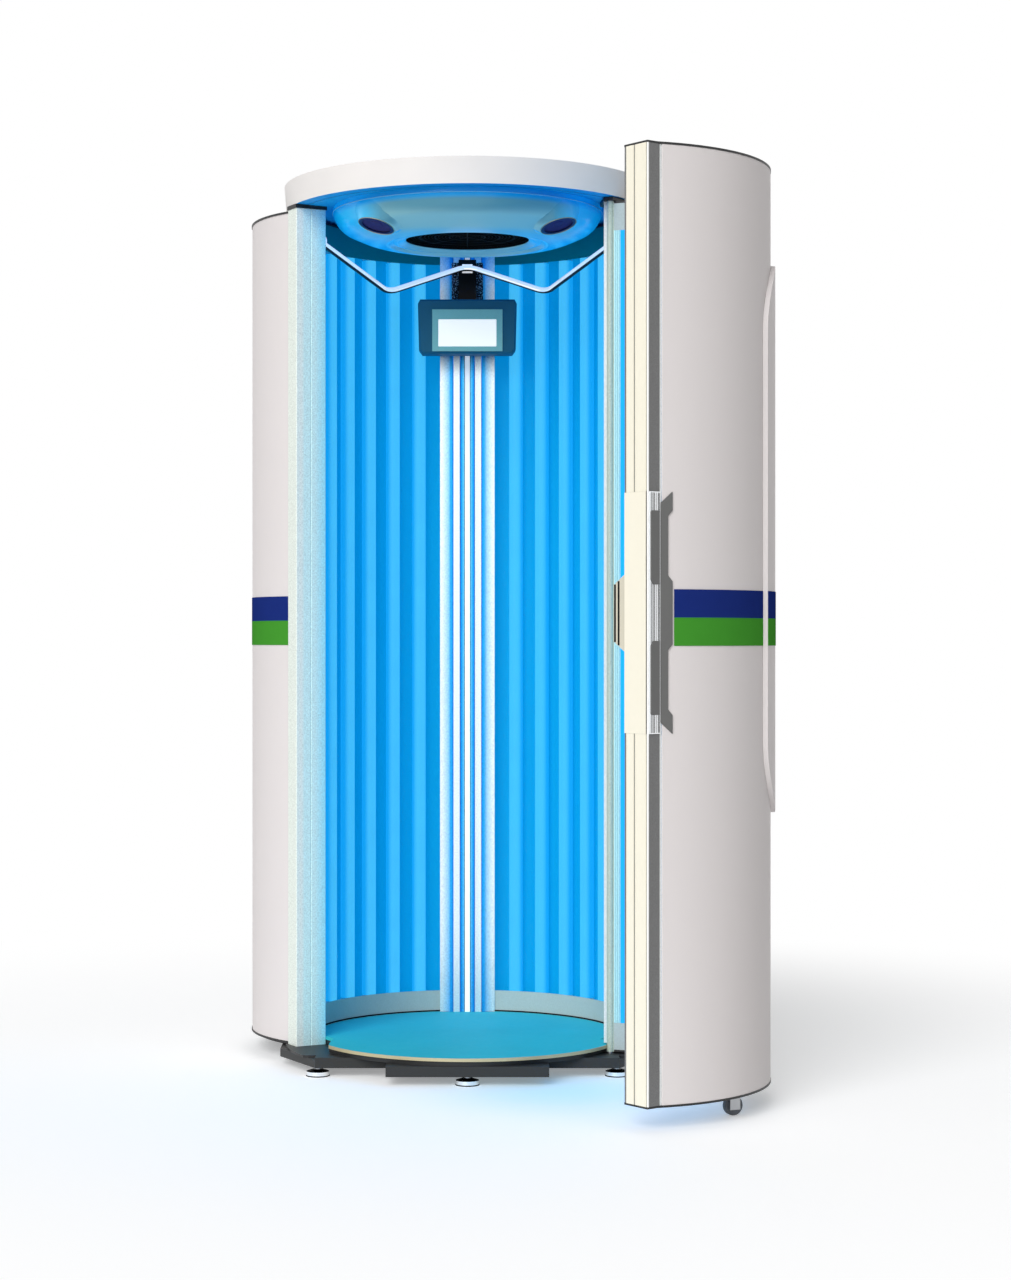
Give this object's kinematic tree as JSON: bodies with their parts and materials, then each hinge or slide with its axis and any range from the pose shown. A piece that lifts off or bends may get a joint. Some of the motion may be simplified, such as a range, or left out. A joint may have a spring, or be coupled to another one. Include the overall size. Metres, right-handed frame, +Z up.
{
  "type": "vertical tanning booth",
  "caption": "Stand-up tanning booth: lamp cabinets with curved shells, a hinged curved lamp door on a floor roller, round floor, canopy with ceiling fan, hand bar and control panel.",
  "frame": {"origin": "on the floor, at the sole of the centre foot, on the upright axis that the lamps stand around", "axes": "+Z up, -Y to the front where the user steps in, +X towards the door's hinge side"},
  "size_m": [1.3077, 1.5963, 2.274],
  "materials": {
    "grey_frame": "satin powder coat",
    "black_steel": "satin powder coat",
    "blue_floor": "gloss",
    "cream_trim": "smooth",
    "black_plastic": "moulded",
    "white_plastic": "moulded",
    "chromed": "polished",
    "white_casing": "satin powder coat",
    "satin_aluminium": "fine speckled satin",
    "bright_aluminium": "polished sheet",
    "dark_profile": "dark speckled satin",
    "lamp_tube": "white coated tube",
    "blue_acrylic": "clear sheet",
    "dark_band": "satin",
    "blue_paint": "satin film",
    "green_paint": "satin film",
    "ceiling_plastic": "moulded gloss",
    "navy_cone": "felt cloth",
    "gold_rim": "satin",
    "teal_plastic": "moulded",
    "pale_plastic": "smooth",
    "screen_glass": "lit, bare",
    "steel_pin": "turned",
    "cream_rubber": "soft strip",
    "dark_pad": "moulded",
    "grey_tyre": "moulded"
  },
  "bodies": {
    "booth": {"base_frame": "grey_frame", "base_plate": "black_steel", "cabinet_blue_stripes": "blue_paint", "cabinet_end_bands": "dark_band", "cabinet_end_plates": "black_steel", "cabinet_green_stripes": "green_paint", "cabinet_lamp_covers": "blue_acrylic", "cabinet_lampholders": "white_plastic", "cabinet_lamps": "lamp_tube", "cabinet_reflectors": "bright_aluminium", "canopy_band": "white_casing", "ceiling_dome": "ceiling_plastic", "centre_strip": "white_casing", "control_gear_boxes": "white_casing", "fan_guard": "black_steel", "fan_motor": "black_steel", "floor_disc": "blue_floor", "floor_rim": "cream_trim", "floor_support": "black_plastic", "hand_bar": "chromed", "hand_bar_mounts": "chromed", "hinge_brackets": "black_steel", "hinge_column": "satin_aluminium", "hinge_pins": "steel_pin", "left_cabinet_shell": "white_casing", "left_front_post": "satin_aluminium", "levelling_feet": "chromed", "panel_bezel": "pale_plastic", "panel_column": "black_steel", "panel_housing": "teal_plastic", "panel_screen": "screen_glass", "post_caps": "black_plastic", "rear_posts": "satin_aluminium", "right_cabinet_shell": "white_casing", "right_front_post": "satin_aluminium", "roof_plate": "white_casing", "speaker_cones": "navy_cone", "speaker_rims": "gold_rim"},
    "door": {"door_blue_stripe": "blue_paint", "door_cover_retainer": "satin_aluminium", "door_end_bands": "dark_band", "door_end_plates": "black_steel", "door_face_plate": "cream_trim", "door_front_panel": "white_casing", "door_green_stripe": "green_paint", "door_handle_bracket": "grey_frame", "door_handle_pads": "dark_pad", "door_hinge_profile": "satin_aluminium", "door_inner_grip": "satin_aluminium", "door_lamp_cover": "blue_acrylic", "door_lampholders": "white_plastic", "door_lamps": "lamp_tube", "door_leading_profile": "dark_profile", "door_pull_handle": "chromed", "door_reflector": "bright_aluminium", "door_roller_fork": "steel_pin", "door_seal_strips": "cream_rubber", "door_shell": "white_casing"},
    "roller": {"door_roller": "grey_tyre"},
    "fan": {"fan_rotor": "black_plastic"}
  },
  "joints": [
    {"name": "door_hinge", "type": "hinge", "parent": "booth", "child": "door", "pos_m": [0.361, -0.187, 1], "axis": [0, 0, 1], "range_deg": [-99.3, 0]},
    {"name": "roller_spin", "type": "hinge", "parent": "door", "child": "roller", "pos_m": [0.60873, -0.77165, 0.023], "axis": [0.3901, -0.9208, 0], "continuous": true},
    {"name": "fan_spin", "type": "hinge", "parent": "booth", "child": "fan", "pos_m": [0, 0, 2.17], "axis": [0, 0, 1], "continuous": true}
  ]
}
